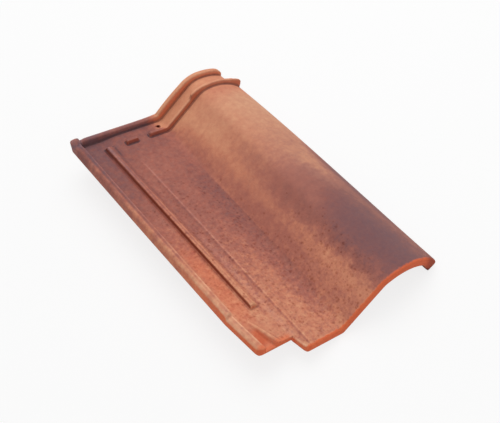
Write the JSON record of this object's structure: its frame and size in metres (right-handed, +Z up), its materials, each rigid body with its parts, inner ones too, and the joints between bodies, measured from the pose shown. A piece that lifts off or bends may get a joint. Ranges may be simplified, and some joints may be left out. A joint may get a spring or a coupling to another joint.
{
  "type": "clay roof tile",
  "caption": "Interlocking clay roof tile with a flat pan, a tapered roll, a ribbed side lock, a double head lap, a nail hole and batten nibs underneath.",
  "frame": {"origin": "centre of the bounding box in plan, on the floor that the tile lies on", "axes": "+Y along the tile from its tail to its head, +X across it from the side lock to the roll, +Z up as it lies at rest, tipped over its roll onto the lip"},
  "size_m": [0.2658, 0.4308, 0.0657],
  "materials": {
    "clay": "matte fired clay, flamed with purple brown patches and dark specks"
  },
  "bodies": {
    "root": {"roof_tile": "clay"}
  },
  "joints": []
}
